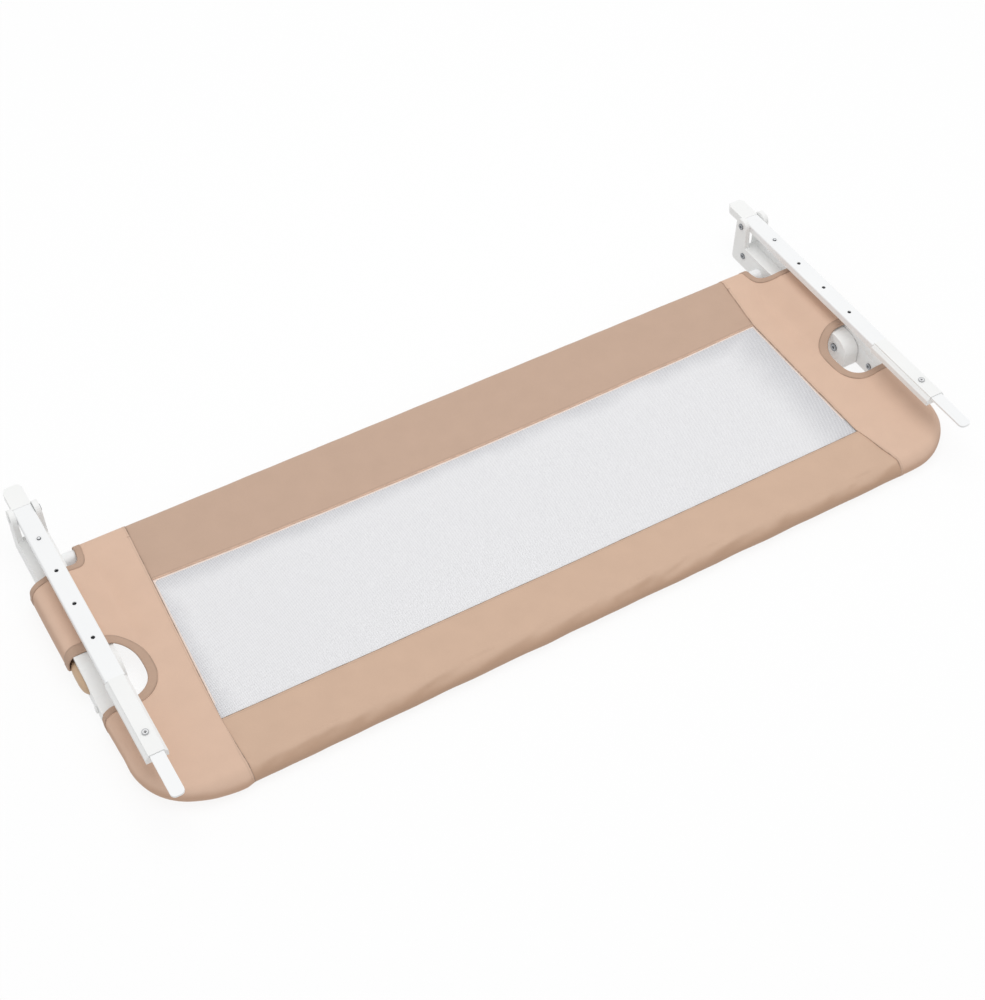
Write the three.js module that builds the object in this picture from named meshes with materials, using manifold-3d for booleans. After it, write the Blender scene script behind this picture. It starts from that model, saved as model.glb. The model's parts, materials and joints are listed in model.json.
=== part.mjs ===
// A folding bed guard rail, lying flat as it is stored, in millimetres.
// X runs along the rail, Y from the top rail to the leg brackets, Z up from the floor it lies on.
// The bed side faces up. Both legs lie folded over the cover, and each swings up and over to go
// under a mattress. The top rail with the upper half of the cover folds the other way, about a
// hinge in the middle of each post, once the buttons on the hinges are pushed in.

import * as THREE from 'three';
import { mergeVertices } from 'three/addons/utils/BufferGeometryUtils.js';
import Module from 'manifold-3d';

const wasm = await Module();
wasm.setup();

// Driving sizes of the whole rail
const uprightSpacing = 1148;
const legInset = 14;
const railToHinge = 213;
const railToCrossTube = 394;
const crossTubeToPivot = 53.5;
const pivotHeight = 67;
const hingeHeight = 22;

// Clearances
const fitGap = 0.3;
const pinGap = 0.1;
const overrun = 3;
const weldDistance = 0.0001;

// Steel tubes of the frame
const tubeDiameter = 22;
const tubeWall = 1.5;
const railBendRadius = 68;

// Lower post, a square steel tube
const postWidth = 25;
const postWall = 1.5;
const postCorner = 3;
const postAxisHeight = 17.5;
const postStopWall = 1.8;

// Leg tube with a row of holes
const legWidth = 25;
const legHeight = 12;
const legWall = 1.6;
const legCorner = 2;
const legBehindPivot = 6.5;
const legAheadOfPivot = 295.5;
const firstHoleFromPivot = 53;
const holePitch = 58.2;
const holeCount = 4;
const holeRadius = 2.75;

// Plug in the leg's pivot end
const plugLength = 40.7;
const plugTaperLength = 8;
const plugTaperWidth = 5;
const plugEdge = 2;
const plugShankReach = 12;

// Bar that slides in the leg tube, and its spring button
const barWall = 1.5;
const barStart = 37.5;
const barInShoe = 52;
const snapRadius = 2.45;
const snapProud = 1.2;
const snapFlangeRadius = 4;
const snapFlangeThickness = 1.1;

// Shoe and tongue at the leg's end
const shoeLength = 118.7;
const shoeWidth = 28;
const shoeSlopeWidth = 3.5;
const shoeSlopeHeight = 4;
const shoeRidgeWidth = 19.5;
const shoeRidgeHeight = 2.3;
const shoeRoof = 1.2;
const tongueWidth = 17;
const tongueThickness = 3;
const tongueReach = 62.5;
const tongueInShoe = 58;
const tongueCorner = 6;
const tongueScrewInShoe = 31;
const tongueScrewRadius = 2.2;
const tongueScrewDepth = 10;
const tongueScrewHeadRadius = 4.3;

// Screw and pin heads
const headHeight = 1.4;
const headRadius = 4.6;
const recessRadius = 2.2;
const recessDepth = 0.9;
const recessSides = 6;

// Bracket that carries a leg, made of two half shells
const bracketWidth = 40;
const bracketHeight = 35;
const bracketAheadOfTube = 31;
const bracketCorner = 5;
const earRadius = 11.5;
const earFootSpread = 3;
const spigotLength = 23;
const spigotInset = 2;
const slotFloor = 14;
const slotAheadOfPivot = 8;
const pivotPinRadius = 3;
const bracketScrewAheadOfPivot = 13;
const bracketScrewHeight = 20.5;
const bracketScrewRadius = 2;
const crossTubeStopWall = 6;

// Hinge in the middle of each post
const knuckleRadius = 19.5;
const knuckleGap = 1;
const hingeOverlap = 22;
const baseWidth = 46;
const baseNoseLength = 25;
const baseEnd = 72;
const baseCorner = 4;
const baseSocketStart = 37;
const hingePinRadius = 4;
const hingePinHeadRadius = 6;
const armWidth = 26;
const armLength = 74.5;
const armSocketDepth = 41.5;
const armNoseHeight = 28;
const armNeckHeight = 31;
const armNeckLength = 45;
const armShoulderLength = 8.5;
const armShoulderHeight = 39.5;
const armHeelLength = 24;
const armToeLength = 18;
const armToeChamfer = 3;
const armCorner = 2.5;
const armBoltFromEnd = 24;
const armBoltHeight = 16;
const armBoltRadius = 2.5;
const armNutRadius = 4.5;
const armNutHeight = 2.4;

// Release button, lock ring and spring
const buttonLength = 53;
const buttonHeight = 22;
const buttonShift = 2;
const buttonProud = 9;
const buttonInPocket = 1.2;
const buttonTravel = 4.5;
const buttonEdge = 2;
const buttonLegRadius = 1.6;
const buttonLegOffset = 8.5;
const ringRadius = 12;
const ringThickness = 6;
const ringInArm = 2.5;
const ringBackGap = 1;
const ringGap = 0.4;
const ringPocketDepth = 10;
const springRadius = 6.6;
const springWire = 0.6;
const springTurns = 3;

// Cover cloth and mesh window
const rollCloth = 1.7;
const sheetThickness = 2;
const sheetDip = 1;
const sidePanelWidth = 111.2;
const nearBandDepth = 68.8;
const farBandDepth = 91.3;
const nearSeamInset = 98;
const farSeamInset = 99;
const handHoleRadius = 48;
const handHoleInset = 7;
const handHoleAheadOfHinge = 18;
const hemToBracket = 19;
const cornerCutDepth = 10;
const sleeveBehindHinge = 27;
const sleeveToBracket = 1;
const sleeveOutsideRoom = 12;
const sleeveInsideRoom = 7;
const sleeveTopRoom = 4.5;
const sleeveCloth = 2;
const sleeveCorner = 13;

// Facets of round shapes
const rodSides = 16;
const discSides = 40;
const tubeSides = 16;
const cornerSteps = 4;
const bendSteps = 6;
const earSteps = 12;
const buttonSteps = 10;
const edgeSteps = 2;
const coilSteps = 10;
const wireSides = 4;

// Places that follow from the sizes above
const tubeRadius = tubeDiameter / 2;
const clothBore = tubeRadius + fitGap;
const rollRadius = clothBore + rollCloth;
const tubeAxisHeight = rollRadius;
const sheetTop = tubeAxisHeight + rollRadius - sheetDip;
const sheetBottom = sheetTop - sheetThickness;
const rollEdge = Math.sqrt(rollRadius ** 2 - (sheetBottom - tubeAxisHeight) ** 2) + fitGap;
const uprightX = uprightSpacing / 2;
const legX = uprightX - legInset;
const pivotY = railToCrossTube + crossTubeToPivot;
const seam = fitGap / 2;

const armInner = uprightX - armWidth / 2;
const armOuter = armInner + armWidth;
const lapPlane = armInner - knuckleGap;
const baseStart = Math.hypot(armToeLength - armToeChamfer, knuckleRadius) + knuckleGap;
const baseInner = lapPlane - hingeOverlap;
const baseOuter = baseInner + baseWidth;
const armEnd = railToHinge - armLength;
const pocketFloor = armOuter - buttonInPocket - buttonTravel - fitGap;
const ringOuter = armInner + ringInArm;

const bracketInner = legX - bracketWidth / 2;
const bracketOuter = legX + bracketWidth / 2;
const bracketStart = railToCrossTube - bracketAheadOfTube;
const bracketEnd = pivotY + earRadius;
const postStart = railToHinge + baseSocketStart + fitGap;
const postEnd = railToCrossTube - tubeRadius - pinGap - postStopWall - fitGap;
const postBottom = postAxisHeight - postWidth / 2;
const postTop = postAxisHeight + postWidth / 2;

const windowX = uprightX - sidePanelWidth;
const windowNearEdge = nearBandDepth;
const windowFarEdge = railToCrossTube - farBandDepth;
const nearSeam = uprightX - nearSeamInset;
const farSeam = uprightX - farSeamInset;
const hemEnd = bracketInner - hemToBracket;
const sleeveStart = railToHinge + sleeveBehindHinge;
const sleeveEnd = bracketStart - sleeveToBracket;
const sleeveOuter = baseOuter + sleeveOutsideRoom;
const sleeveInner = baseInner - sleeveInsideRoom;
const sleeveTop = hingeHeight + knuckleRadius + sleeveTopRoom;

const barHalfWidth = legWidth / 2 - legWall - fitGap;
const barHalfHeight = legHeight / 2 - legWall - fitGap;
const shoeStart = -legAheadOfPivot - fitGap;
const shoeEnd = shoeStart - shoeLength;
const shoeTop = legHeight / 2 + shoeRidgeHeight;
const tongueTop = shoeTop - shoeRoof - fitGap;
const tongueTip = shoeEnd - tongueReach;
const plugStart = legBehindPivot + fitGap;
const plugEnd = plugStart + plugLength;

const nearLimit = pivotY + tongueTip;
const farLimit = pivotY + plugEnd;

// Colours and finishes
const whiteSteel = { color: 0xf0f1f2, roughness: 0.4, metalness: 0 };
const whitePlastic = { color: 0xeeeeed, roughness: 0.5, metalness: 0 };
const greySteel = { color: 0x8d8f91, roughness: 0.4, metalness: 1 };
const darkSteel = { color: 0x343537, roughness: 0.5, metalness: 1 };
const tanPlastic = { color: 0xcdaf87, roughness: 0.5, metalness: 0 };
const sandCloth = { color: 0xdebea7, roughness: 0.9, metalness: 0 };
const taupeCloth = { color: 0xc4a891, roughness: 0.9, metalness: 0 };
const paleMesh = { color: 0xe6e6e9, roughness: 0.8, metalness: 0 };

// Solids and their meshes

function welded(geometry) {
  const bare = geometry.clone();
  bare.deleteAttribute('normal');
  bare.deleteAttribute('uv');
  return mergeVertices(bare, weldDistance);
}

function solidFrom(geometry) {
  const shell = welded(geometry);
  return new wasm.Manifold(new wasm.Mesh({
    numProp: 3,
    vertProperties: Float32Array.from(shell.attributes.position.array),
    triVerts: Uint32Array.from(shell.index.array),
  }));
}

function geometryFrom(solid) {
  const mesh = solid.getMesh();
  const geometry = new THREE.BufferGeometry();
  geometry.setAttribute('position', new THREE.Float32BufferAttribute(mesh.vertProperties, 3));
  geometry.setIndex(Array.from(mesh.triVerts));
  return geometry;
}

function joined(first, ...others) {
  return geometryFrom(others.reduce((sum, next) => sum.add(solidFrom(next)), solidFrom(first)));
}

function cut(first, ...tools) {
  return geometryFrom(tools.reduce((rest, tool) => rest.subtract(solidFrom(tool)), solidFrom(first)));
}

function shared(first, second) {
  return geometryFrom(solidFrom(first).intersect(solidFrom(second)));
}

// Blocks, plates and rods along each axis

function box(x0, x1, y0, y1, z0, z1) {
  const geometry = new THREE.BoxGeometry(x1 - x0, y1 - y0, z1 - z0);
  return geometry.translate((x0 + x1) / 2, (y0 + y1) / 2, (z0 + z1) / 2);
}

// An outline in X and Y, run from z0 to z1
function plateZ(shape, z0, z1) {
  const settings = { depth: z1 - z0, bevelEnabled: false, curveSegments: cornerSteps / 2 };
  return new THREE.ExtrudeGeometry(shape, settings).translate(0, 0, z0);
}

// The same with both edges rounded
function softPlateZ(shape, z0, z1, edge) {
  return new THREE.ExtrudeGeometry(shape, {
    depth: z1 - z0 - 2 * edge, bevelThickness: edge, bevelSize: edge, bevelOffset: -edge,
    bevelSegments: edgeSteps,
  }).translate(0, 0, z0 + edge);
}

// From an outline in X and Y run along Z, to one in Y and Z run along X
function turnedToX(geometry) {
  return geometry.applyMatrix4(new THREE.Matrix4().makeBasis(
    new THREE.Vector3(0, 1, 0), new THREE.Vector3(0, 0, 1), new THREE.Vector3(1, 0, 0)));
}

function plateX(shape, x0, x1) {
  return turnedToX(plateZ(shape, x0, x1));
}

// An outline in X and Z, run from y0 to y1
function plateY(shape, y0, y1) {
  return plateZ(shape, -y1, -y0).applyMatrix4(new THREE.Matrix4().makeBasis(
    new THREE.Vector3(1, 0, 0), new THREE.Vector3(0, 0, 1), new THREE.Vector3(0, -1, 0)));
}

function rodY(radius, y0, y1, x, z, sides = rodSides) {
  return new THREE.CylinderGeometry(radius, radius, y1 - y0, sides)
    .translate(x, (y0 + y1) / 2, z);
}

function rodX(radius, x0, x1, y, z, sides = rodSides) {
  return rodY(radius, x0, x1, 0, 0, sides).rotateZ(-Math.PI / 2).translate(0, y, z);
}

function rodZ(radius, z0, z1, x, y, sides = rodSides) {
  return rodY(radius, z0, z1, 0, 0, sides).rotateX(Math.PI / 2).translate(x, y, 0);
}

function outline(points) {
  return new THREE.Shape(points.map(([a, b]) => new THREE.Vector2(a, b)));
}

function rounded(a0, a1, b0, b1, radius) {
  const shape = new THREE.Shape();
  shape.absarc(a1 - radius, b1 - radius, radius, 0, Math.PI / 2);
  shape.absarc(a0 + radius, b1 - radius, radius, Math.PI / 2, Math.PI);
  shape.absarc(a0 + radius, b0 + radius, radius, Math.PI, Math.PI * 1.5);
  shape.absarc(a1 - radius, b0 + radius, radius, Math.PI * 1.5, Math.PI * 2);
  return shape;
}

function arc(a, b, radius, from, to, steps) {
  return Array.from({ length: steps + 1 }, (_, i) => {
    const angle = from + (to - from) * i / steps;
    return [a + radius * Math.cos(angle), b + radius * Math.sin(angle)];
  });
}

// A head on a face across X, towards the middle of the rail, with a hexagon recess
function headX(radius, face, y, z) {
  const end = face - headHeight;
  return cut(
    rodX(radius, end, face, y, z),
    rodX(recessRadius, end - overrun, end + recessDepth, y, z, recessSides));
}

// A piece made for the right side, on the side that is asked for
function onSide(geometry, side) {
  const turned = welded(geometry);
  if (side > 0) {
    return turned;
  }
  turned.scale(-1, 1, 1);
  const order = Array.from(turned.index.array);
  for (let i = 0; i < order.length; i += 3) {
    [order[i], order[i + 1]] = [order[i + 1], order[i]];
  }
  turned.setIndex(order);
  return turned;
}

// Top rail: two uprights, two bends and the rail between them, bent from one tube

class RailRoute extends THREE.Curve {
  constructor(end) {
    super();
    const r = railBendRadius;
    const a = uprightX - r;
    this.points = [
      [-uprightX, end],
      ...arc(-a, r, r, Math.PI, Math.PI * 1.5, bendSteps),
      ...arc(a, r, r, Math.PI * 1.5, Math.PI * 2, bendSteps),
      [uprightX, end],
    ].map(([x, y]) => new THREE.Vector3(x, y, tubeAxisHeight));
  }

  getPoint(t, target = new THREE.Vector3()) {
    const place = t * (this.points.length - 1);
    const index = Math.min(Math.floor(place), this.points.length - 2);
    return target.copy(this.points[index]).lerp(this.points[index + 1], place - index);
  }

  getPointAt(t, target) {
    return this.getPoint(t, target);
  }

  getTangentAt(t, target = new THREE.Vector3()) {
    const reach = 1 / (this.points.length - 1) / 2;
    const ahead = this.getPoint(Math.min(t + reach, 1));
    return target.copy(ahead).sub(this.getPoint(Math.max(t - reach, 0))).normalize();
  }
}

function ringShape(outer, inner, sides) {
  const around = (radius) => Array.from({ length: sides }, (_, i) => new THREE.Vector2(
    radius * Math.cos(2 * Math.PI * i / sides), radius * Math.sin(2 * Math.PI * i / sides)));
  const shape = new THREE.Shape(around(outer));
  shape.holes.push(new THREE.Path(around(inner)));
  return shape;
}

function alongRail(outer, inner, end) {
  const route = new RailRoute(end);
  return new THREE.ExtrudeGeometry(ringShape(outer, inner, tubeSides), {
    steps: route.points.length - 1, extrudePath: route, bevelEnabled: false,
  });
}

function topFrame() {
  const end = armEnd + armSocketDepth - fitGap;
  return cut(
    alongRail(tubeRadius, tubeRadius - tubeWall, end),
    ...[-uprightX, uprightX].map((x) => rodX(
      armBoltRadius + pinGap, x - tubeDiameter, x + tubeDiameter,
      armEnd + armBoltFromEnd, armBoltHeight)));
}

function crossTube() {
  const half = bracketOuter - crossTubeStopWall;
  return cut(
    rodX(tubeRadius, -half, half, railToCrossTube, tubeAxisHeight, discSides),
    rodX(
      tubeRadius - tubeWall, -half - overrun, half + overrun,
      railToCrossTube, tubeAxisHeight));
}

// Leg, drawn from its pivot: the tube runs ahead to the rail and the plug away from it

function legBox(inset, start, end, corner) {
  const halfWidth = legWidth / 2 - inset;
  const halfHeight = legHeight / 2 - inset;
  return plateY(rounded(-halfWidth, halfWidth, -halfHeight, halfHeight, corner), start, end);
}

function pivotBore() {
  return rodX(pivotPinRadius + pinGap, -legWidth, legWidth, 0, 0);
}

function legTube() {
  const holes = Array.from({ length: holeCount }, (_, i) => rodZ(
    holeRadius, 0, legHeight, 0, -firstHoleFromPivot - holePitch * i));
  return cut(
    legBox(0, -legAheadOfPivot, legBehindPivot, legCorner),
    legBox(legWall, -legAheadOfPivot - overrun, legBehindPivot + overrun, legCorner / 2),
    pivotBore(), ...holes);
}

function legEndPlug() {
  const w = legWidth / 2;
  const h = legHeight / 2;
  const top = outline([
    [-w, plugStart], [w, plugStart], [w, plugEnd - plugTaperLength],
    [w - plugTaperWidth, plugEnd], [-w + plugTaperWidth, plugEnd],
    [-w, plugEnd - plugTaperLength],
  ]);
  const side = outline([
    [plugStart, -h], [plugEnd - plugEdge, -h], [plugEnd, -h + plugEdge],
    [plugEnd, h - plugEdge], [plugEnd - plugEdge, h], [plugStart, h],
  ]);
  return cut(
    joined(
      shared(plateZ(top, -h, h), plateX(side, -w, w)),
      legBox(legWall + fitGap, -plugShankReach, plugStart + plugEdge, legCorner / 2)),
    pivotBore());
}

function legSlideBar() {
  const end = shoeStart - barInShoe;
  const inset = legWall + fitGap;
  return cut(
    legBox(inset, end, -barStart, legCorner / 2),
    legBox(inset + barWall, end - overrun, -barStart + overrun, legCorner / 2),
    rodZ(holeRadius, 0, legHeight, 0, -firstHoleFromPivot));
}

function snapButton() {
  const flangeTop = barHalfHeight - barWall - fitGap;
  const flangeBottom = flangeTop - snapFlangeThickness;
  return joined(
    rodZ(snapFlangeRadius, flangeBottom, flangeTop, 0, -firstHoleFromPivot),
    rodZ(snapRadius, flangeBottom, legHeight / 2 + snapProud, 0, -firstHoleFromPivot));
}

function legShoe() {
  const w = shoeWidth / 2;
  const h = legHeight / 2;
  const ridge = shoeRidgeWidth / 2;
  const slope = w - shoeSlopeWidth;
  const shoulder = h - shoeSlopeHeight;
  const section = outline([
    [-w, -h], [w, -h], [w, shoulder], [slope, h], [ridge, h], [ridge, shoeTop],
    [-ridge, shoeTop], [-ridge, h], [-slope, h], [-w, shoulder],
  ]);
  const slotHalf = tongueWidth / 2 + fitGap;
  const slotTop = shoeTop - shoeRoof;
  return cut(
    plateY(section, shoeEnd, shoeStart),
    box(
      -barHalfWidth - pinGap, barHalfWidth + pinGap, shoeStart - barInShoe - fitGap,
      shoeStart + overrun, -barHalfHeight - pinGap, barHalfHeight + pinGap),
    box(
      -slotHalf, slotHalf, shoeEnd - overrun, shoeEnd + tongueInShoe + fitGap,
      slotTop - tongueThickness - 2 * fitGap, slotTop),
    rodZ(
      tongueScrewRadius + pinGap, shoeTop - tongueScrewDepth - fitGap, shoeTop + overrun,
      0, shoeEnd + tongueScrewInShoe));
}

function legTongue() {
  const w = tongueWidth / 2;
  const shape = outline([
    [w, shoeEnd + tongueInShoe], [-w, shoeEnd + tongueInShoe],
    ...arc(
      -w + tongueCorner, tongueTip + tongueCorner, tongueCorner,
      Math.PI, Math.PI * 1.5, cornerSteps),
    ...arc(
      w - tongueCorner, tongueTip + tongueCorner, tongueCorner,
      Math.PI * 1.5, Math.PI * 2, cornerSteps),
  ]);
  return cut(
    plateZ(shape, tongueTop - tongueThickness, tongueTop),
    rodZ(tongueScrewRadius + pinGap, -shoeTop, shoeTop, 0, shoeEnd + tongueScrewInShoe));
}

function tongueScrew() {
  const place = shoeEnd + tongueScrewInShoe;
  const face = shoeTop + pinGap;
  const end = face + headHeight;
  return cut(
    joined(
      rodZ(tongueScrewHeadRadius, face, end, 0, place),
      rodZ(tongueScrewRadius, shoeTop - tongueScrewDepth, end - recessDepth, 0, place)),
    rodZ(recessRadius, end - recessDepth, end + overrun, 0, place, recessSides));
}

// Bracket shells, the post and what holds them

function bracketShell(x0, x1) {
  const ear = arc(pivotY, pivotHeight, earRadius, 0, Math.PI, earSteps);
  const body = outline([
    [bracketStart, 0], [bracketEnd - bracketCorner, 0], [bracketEnd, bracketCorner], ...ear,
    [pivotY - earRadius - earFootSpread, bracketHeight], [bracketStart, bracketHeight],
  ]);
  const top = pivotHeight + earRadius;
  const section = rounded(bracketInner, bracketOuter, 0, top, bracketCorner / 2);
  const spigot = rounded(
    bracketInner + spigotInset, bracketOuter - spigotInset,
    spigotInset + fitGap, bracketHeight - spigotInset, bracketCorner / 2);
  const slotHalf = legWidth / 2 + fitGap;
  const postHalf = postWidth / 2 + pinGap;
  const whole = cut(
    joined(
      shared(
        plateX(body, bracketInner, bracketOuter),
        plateY(section, bracketStart, bracketEnd)),
      plateY(spigot, bracketStart - spigotLength, bracketStart + overrun)),
    box(
      legX - slotHalf, legX + slotHalf, bracketStart - overrun, bracketEnd + overrun,
      bracketHeight, top + overrun),
    box(
      legX - slotHalf, legX + slotHalf, pivotY - slotAheadOfPivot, bracketEnd + overrun,
      slotFloor, pivotHeight),
    plateY(
      rounded(
        legX - postHalf, legX + postHalf, postBottom - pinGap, postTop + pinGap, postCorner),
      bracketStart - spigotLength - overrun, postEnd + fitGap),
    rodX(
      tubeRadius + pinGap, bracketInner - overrun, bracketOuter - crossTubeStopWall + fitGap,
      railToCrossTube, tubeAxisHeight, discSides),
    rodX(
      pivotPinRadius + pinGap, bracketInner - overrun, bracketOuter + overrun,
      pivotY, pivotHeight),
    rodX(
      bracketScrewRadius + pinGap, bracketInner - overrun, bracketOuter - crossTubeStopWall,
      pivotY - bracketScrewAheadOfPivot, bracketScrewHeight));
  return shared(whole, box(x0, x1, 0, bracketEnd + overrun, -overrun, top + overrun));
}

function bracketScrew() {
  const y = pivotY - bracketScrewAheadOfPivot;
  const face = bracketInner - pinGap;
  return joined(
    headX(headRadius, face, y, bracketScrewHeight),
    rodX(
      bracketScrewRadius, face - headHeight + recessDepth,
      bracketOuter - crossTubeStopWall - fitGap, y, bracketScrewHeight));
}

function legPivotPin() {
  const inner = bracketInner - pinGap;
  const outer = bracketOuter + pinGap;
  return joined(
    headX(headRadius, inner, pivotY, pivotHeight),
    rodX(
      pivotPinRadius, inner - headHeight + recessDepth, outer + headHeight / 2,
      pivotY, pivotHeight),
    rodX(headRadius, outer, outer + headHeight, pivotY, pivotHeight));
}

function lowerPost() {
  const half = postWidth / 2;
  const bore = half - postWall;
  return cut(
    plateY(
      rounded(legX - half, legX + half, postBottom, postTop, postCorner), postStart, postEnd),
    plateY(
      rounded(
        legX - bore, legX + bore, postAxisHeight - bore, postAxisHeight + bore,
        postCorner - postWall),
      postStart - overrun, postEnd + overrun));
}

// Hinge: the base carries the post, the arm carries the top rail's upright

function hingeBase() {
  const low = hingeHeight - knuckleRadius;
  const high = hingeHeight + knuckleRadius;
  const postHalf = postWidth / 2 + pinGap;
  const start = railToHinge + baseStart;
  const stretch = baseNoseLength / knuckleRadius;
  const nose = arc(0, hingeHeight, knuckleRadius, Math.PI / 2, Math.PI, buttonSteps);
  const knuckle = outline([
    [start + fitGap, low], [start + fitGap, high],
    ...nose.map(([y, z]) => [railToHinge + y * stretch, z]),
    [railToHinge - baseNoseLength, low],
  ]);
  return cut(
    joined(
      plateX(knuckle, baseInner, lapPlane),
      plateY(rounded(baseInner, baseOuter, low, high, baseCorner), start, railToHinge + baseEnd)),
    plateY(
      rounded(
        legX - postHalf, legX + postHalf, postBottom - pinGap, postTop + pinGap, postCorner),
      railToHinge + baseSocketStart, railToHinge + baseEnd + overrun),
    rodX(hingePinRadius + pinGap, baseInner - overrun, lapPlane, railToHinge, hingeHeight),
    rodX(
      ringRadius + ringGap, lapPlane - ringPocketDepth, lapPlane + overrun,
      railToHinge, hingeHeight),
    rodX(
      buttonLength / 2 - buttonShift + knuckleGap, pocketFloor, baseOuter + overrun,
      railToHinge, hingeHeight, discSides));
}

function buttonShape(margin) {
  const r = buttonHeight / 2 + margin;
  const reach = (buttonLength - buttonHeight) / 2;
  const y = railToHinge - buttonShift;
  return outline([
    ...arc(y + reach, hingeHeight, r, -Math.PI / 2, Math.PI / 2, buttonSteps),
    ...arc(y - reach, hingeHeight, r, Math.PI / 2, Math.PI * 1.5, buttonSteps),
  ]);
}

function buttonLegs(radius, x0, x1) {
  return [-buttonLegOffset, buttonLegOffset].map((offset) => rodX(
    radius, x0, x1, railToHinge + offset, hingeHeight));
}

function hingeArm() {
  const y = railToHinge;
  const toe = y + armToeLength;
  const high = hingeHeight + knuckleRadius;
  const profile = outline([
    [armEnd, 0], [y - armHeelLength, 0], [y, hingeHeight - knuckleRadius],
    [toe, hingeHeight], [toe, high - armToeChamfer], [toe - armToeChamfer, high],
    [y, high], [y - armShoulderLength, armShoulderHeight],
    [y - armNeckLength, armNeckHeight], [armEnd, armNoseHeight],
  ]);
  const section = rounded(armInner, armOuter, 0, 2 * hingeHeight, armCorner);
  return cut(
    joined(
      shared(plateX(profile, armInner, armOuter), plateY(section, armEnd, toe)),
      rodX(knuckleRadius, armInner, armOuter, y, hingeHeight, discSides)),
    rodY(
      tubeRadius + pinGap, armEnd - overrun, armEnd + armSocketDepth,
      uprightX, tubeAxisHeight),
    rodX(ringRadius + ringGap, armInner - overrun, ringOuter + ringBackGap, y, hingeHeight),
    rodX(hingePinRadius + pinGap, armInner, pocketFloor + overrun, y, hingeHeight),
    plateX(buttonShape(fitGap), pocketFloor, armOuter + overrun),
    ...buttonLegs(buttonLegRadius + pinGap, armInner, pocketFloor + overrun),
    rodX(
      armBoltRadius + pinGap, armInner - overrun, armOuter + overrun,
      armEnd + armBoltFromEnd, armBoltHeight));
}

function hingePin() {
  const face = baseInner - fitGap;
  return joined(
    headX(hingePinHeadRadius, face, railToHinge, hingeHeight),
    rodX(
      hingePinRadius, face - headHeight + recessDepth, pocketFloor - fitGap,
      railToHinge, hingeHeight));
}

function lockRing() {
  return cut(
    rodX(ringRadius, ringOuter - ringThickness, ringOuter, railToHinge, hingeHeight),
    rodX(
      hingePinRadius + pinGap, ringOuter - 2 * ringThickness, ringOuter + overrun,
      railToHinge, hingeHeight));
}

function releaseButton() {
  const low = armOuter - buttonInPocket;
  return joined(
    turnedToX(softPlateZ(buttonShape(0), low, armOuter + buttonProud, buttonEdge)),
    ...buttonLegs(buttonLegRadius, ringOuter + fitGap, low + buttonEdge));
}

class Coil extends THREE.Curve {
  constructor(start, end) {
    super();
    this.start = start;
    this.end = end;
  }

  getPoint(t, target = new THREE.Vector3()) {
    const angle = t * springTurns * 2 * Math.PI;
    return target.set(
      this.start + (this.end - this.start) * t,
      railToHinge + springRadius * Math.cos(angle),
      hingeHeight + springRadius * Math.sin(angle));
  }
}

function releaseSpring() {
  const start = lapPlane - ringPocketDepth + springWire + fitGap;
  const end = ringOuter - ringThickness - springWire - fitGap;
  const wire = arc(0, 0, springWire, 0, 2 * Math.PI, wireSides).slice(1);
  return new THREE.ExtrudeGeometry(outline(wire), {
    steps: springTurns * coilSteps, extrudePath: new Coil(start, end), bevelEnabled: false,
  });
}

function armBolt() {
  const y = armEnd + armBoltFromEnd;
  const face = armInner - fitGap;
  return joined(
    headX(headRadius, face, y, armBoltHeight),
    rodX(
      armBoltRadius, face - headHeight + recessDepth, armOuter + armNutHeight / 2,
      y, armBoltHeight));
}

function armNut() {
  const y = armEnd + armBoltFromEnd;
  const face = armOuter + fitGap;
  return cut(
    rodX(armNutRadius, face, face + armNutHeight, y, armBoltHeight),
    rodX(
      armBoltRadius + pinGap, face - overrun, face + armNutHeight / 2 + fitGap,
      y, armBoltHeight));
}

// Cover: cloth rolls round the tubes, flat cloth and mesh between them

function sheet(points) {
  return plateZ(outline(points), sheetBottom, sheetTop);
}

function handHole() {
  return rodZ(
    handHoleRadius, sheetBottom - overrun, sheetTop + overrun,
    uprightX - handHoleInset, railToHinge - handHoleAheadOfHinge, discSides);
}

function upperSideSheet() {
  const inner = windowX + seam;
  const outer = uprightX - rollEdge;
  const cornerX = uprightX - railBendRadius;
  const armSide = armInner - fitGap;
  const turn = arc(
    cornerX, railBendRadius, railBendRadius - rollEdge, -Math.PI / 2, 0, bendSteps);
  return cut(sheet([
    [nearSeam + seam, rollEdge], ...turn, [outer, armEnd - fitGap], [armSide, armEnd - fitGap],
    [armSide, railToHinge - seam], [inner, railToHinge - seam], [inner, windowNearEdge],
  ]), handHole());
}

function lowerSideSheet() {
  const inner = windowX + seam;
  const outer = sleeveInner - fitGap;
  const far = railToCrossTube - rollEdge;
  return cut(sheet([
    [inner, railToHinge + seam], [outer, railToHinge + seam], [outer, sleeveEnd],
    [hemEnd, sleeveEnd + cornerCutDepth], [hemEnd, far], [farSeam + seam, far],
    [inner, windowFarEdge],
  ]), handHole());
}

// A band of cloth between the two seams, from one half width to another
function band(nearHalf, y0, farHalf, y1) {
  return sheet([
    [-nearHalf + seam, y0], [nearHalf - seam, y0], [farHalf - seam, y1], [-farHalf + seam, y1],
  ]);
}

function hemRoll() {
  return cut(
    rodX(rollRadius, -hemEnd, hemEnd, railToCrossTube, tubeAxisHeight, discSides),
    rodX(
      clothBore, -hemEnd - overrun, hemEnd + overrun,
      railToCrossTube, tubeAxisHeight, discSides));
}

function sideSleeve() {
  const t = sleeveCloth;
  return cut(
    plateY(rounded(sleeveInner, sleeveOuter, 0, sleeveTop, sleeveCorner), sleeveStart, sleeveEnd),
    plateY(
      rounded(sleeveInner + t, sleeveOuter - t, t, sleeveTop - t, sleeveCorner - t),
      sleeveStart - overrun, sleeveEnd + overrun));
}

// The rail with every piece in its place

const rail = new THREE.Group();
rail.position.set(0, -(nearLimit + farLimit) / 2, 0);

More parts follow.
